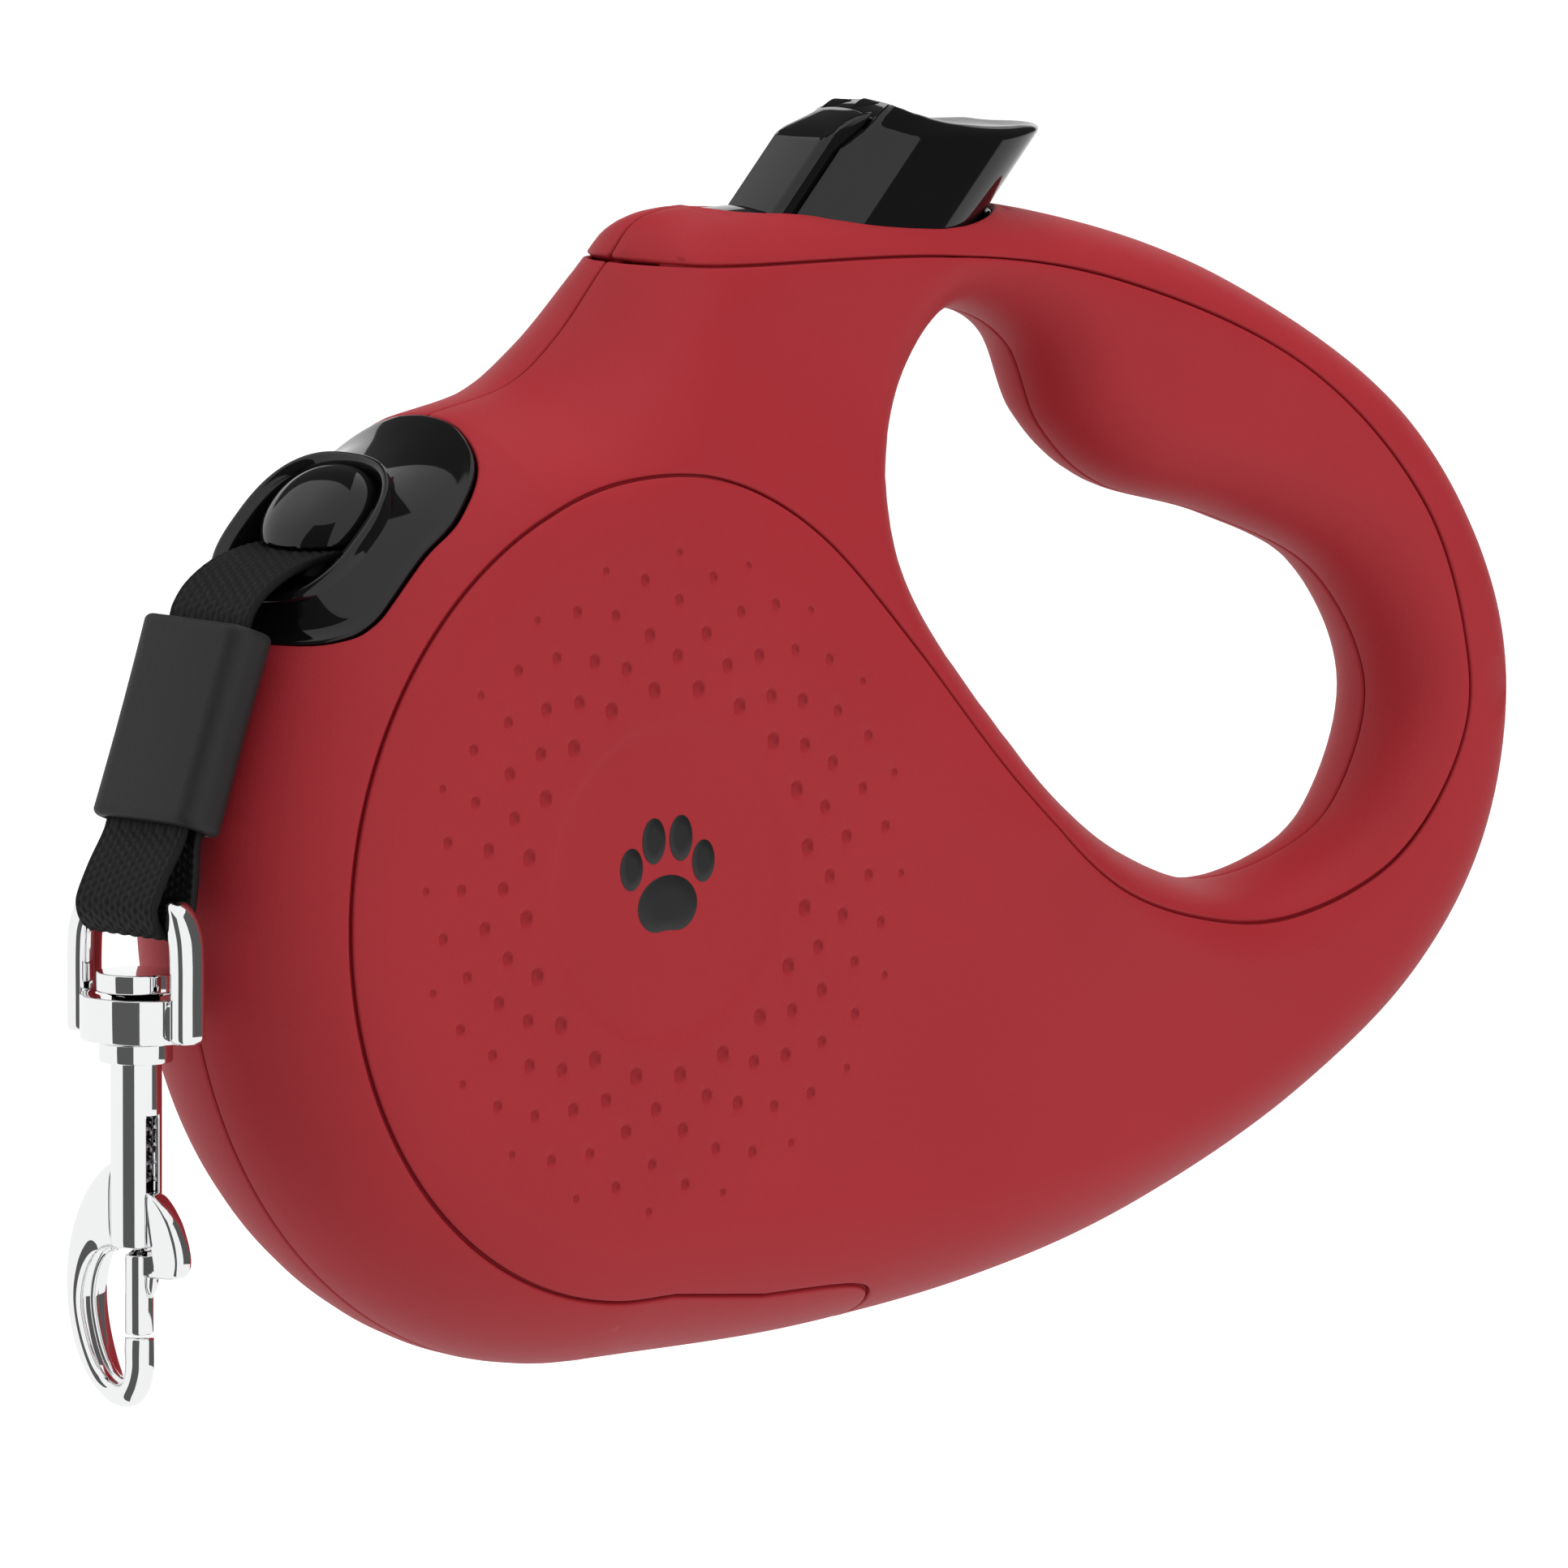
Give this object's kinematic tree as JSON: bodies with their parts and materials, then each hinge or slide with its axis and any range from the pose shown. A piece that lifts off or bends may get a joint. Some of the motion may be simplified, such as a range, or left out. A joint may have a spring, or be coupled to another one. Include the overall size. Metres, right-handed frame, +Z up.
{
  "type": "retractable dog leash",
  "caption": "Hand-held retractable tape leash: sprung reel in a looped-handle case, thumb brake and lock buttons, swivel bolt snap at the tape.",
  "frame": {"origin": "middle of the hand grip, inside the upper rear arch of the handle", "axes": "+X from the nozzle to the back of the handle, +Z up, +Y to the right side; the reel turns about a line along Y"},
  "size_m": [0.2175, 0.039, 0.138],
  "materials": {
    "case_red": "soft-touch matte red with a fine grain",
    "gloss_black": "high-gloss black",
    "inner_plastic": "grey moulded acetal, satin",
    "spring_steel": "bright spring steel",
    "steel": "zinc-plated steel",
    "brass_bush": "satin brass",
    "webbing": "black woven nylon tape",
    "sleeve_rubber": "matte black rubber",
    "snap_chrome": "polished chrome plate"
  },
  "bodies": {
    "case": {"left_frame": "case_red", "right_frame": "case_red", "left_cover": "case_red", "right_cover": "case_red", "nozzle_bezel": "gloss_black", "nozzle_ring": "gloss_black", "nozzle_guide": "gloss_black", "button_plate": "gloss_black", "brake_guide": "inner_plastic", "brake_spring": "spring_steel", "lock_spring": "spring_steel", "axle": "steel", "case_screw_1": "steel", "case_screw_2": "steel", "case_screw_3": "steel", "case_screw_4": "steel", "case_screw_5": "steel", "case_screw_6": "steel"},
    "brake": {"brake_button": "gloss_black", "brake_plunger": "inner_plastic"},
    "lock": {"lock_button": "gloss_black"},
    "reel": {"reel_hub": "inner_plastic", "ratchet_flange_left": "inner_plastic", "ratchet_flange_right": "inner_plastic", "spring_cup": "inner_plastic", "spring_cover": "inner_plastic", "power_spring": "spring_steel", "bush_left": "brass_bush", "bush_right": "brass_bush", "wound_tape": "webbing", "tape_anchor_pin": "steel", "reel_screw_1": "steel", "reel_screw_2": "steel", "reel_screw_3": "steel"},
    "tape_end": {"leash_tape": "webbing", "rubber_sleeve": "sleeve_rubber", "tape_loop": "webbing"},
    "bail": {"hook_bail": "snap_chrome"},
    "hook": {"swivel_rivet": "snap_chrome", "hook_body": "snap_chrome", "bolt_spring": "spring_steel"},
    "bolt": {"hook_bolt": "snap_chrome"}
  },
  "joints": [
    {"name": "brake_press", "type": "slide", "parent": "case", "child": "brake", "axis": [-0.7071, 0, -0.7071], "range_m": [0, 0.004], "stiffness_N_per_m": 900, "springref_m": -0.003, "deforming": ["brake_spring"]},
    {"name": "lock_press", "type": "slide", "parent": "case", "child": "lock", "axis": [-0.7071, 0, -0.7071], "range_m": [0, 0.002], "stiffness_N_per_m": 700, "springref_m": -0.002, "deforming": ["lock_spring"]},
    {"name": "tape_runout", "type": "slide", "parent": "case", "child": "tape_end", "axis": [-0.3581, 0, -0.9337], "range_m": [0, 0.0628], "stiffness_N_per_m": 60, "springref_m": -0.04, "deforming": ["leash_tape"]},
    {"name": "reel_spin", "type": "hinge", "parent": "case", "child": "reel", "pos_m": [-0.104, 0, -0.044], "axis": [0, -1, 0], "range_deg": [0, 90]},
    {"name": "bail_swing", "type": "hinge", "parent": "tape_end", "child": "bail", "pos_m": [-0.1678, 0, -0.0423], "axis": [0, 1, 0], "range_deg": [-5, 60]},
    {"name": "hook_swivel", "type": "hinge", "parent": "bail", "child": "hook", "pos_m": [-0.1678, 0, -0.0548], "axis": [0, 0, 1], "continuous": true},
    {"name": "bolt_slide", "type": "slide", "parent": "hook", "child": "bolt", "axis": [0, 0, 1], "range_m": [0, 0.006], "stiffness_N_per_m": 250, "springref_m": -0.006, "deforming": ["bolt_spring"]}
  ],
  "couplings": [
    {"joint": "reel_spin", "follows": "tape_runout", "rad_per_m": 25}
  ]
}
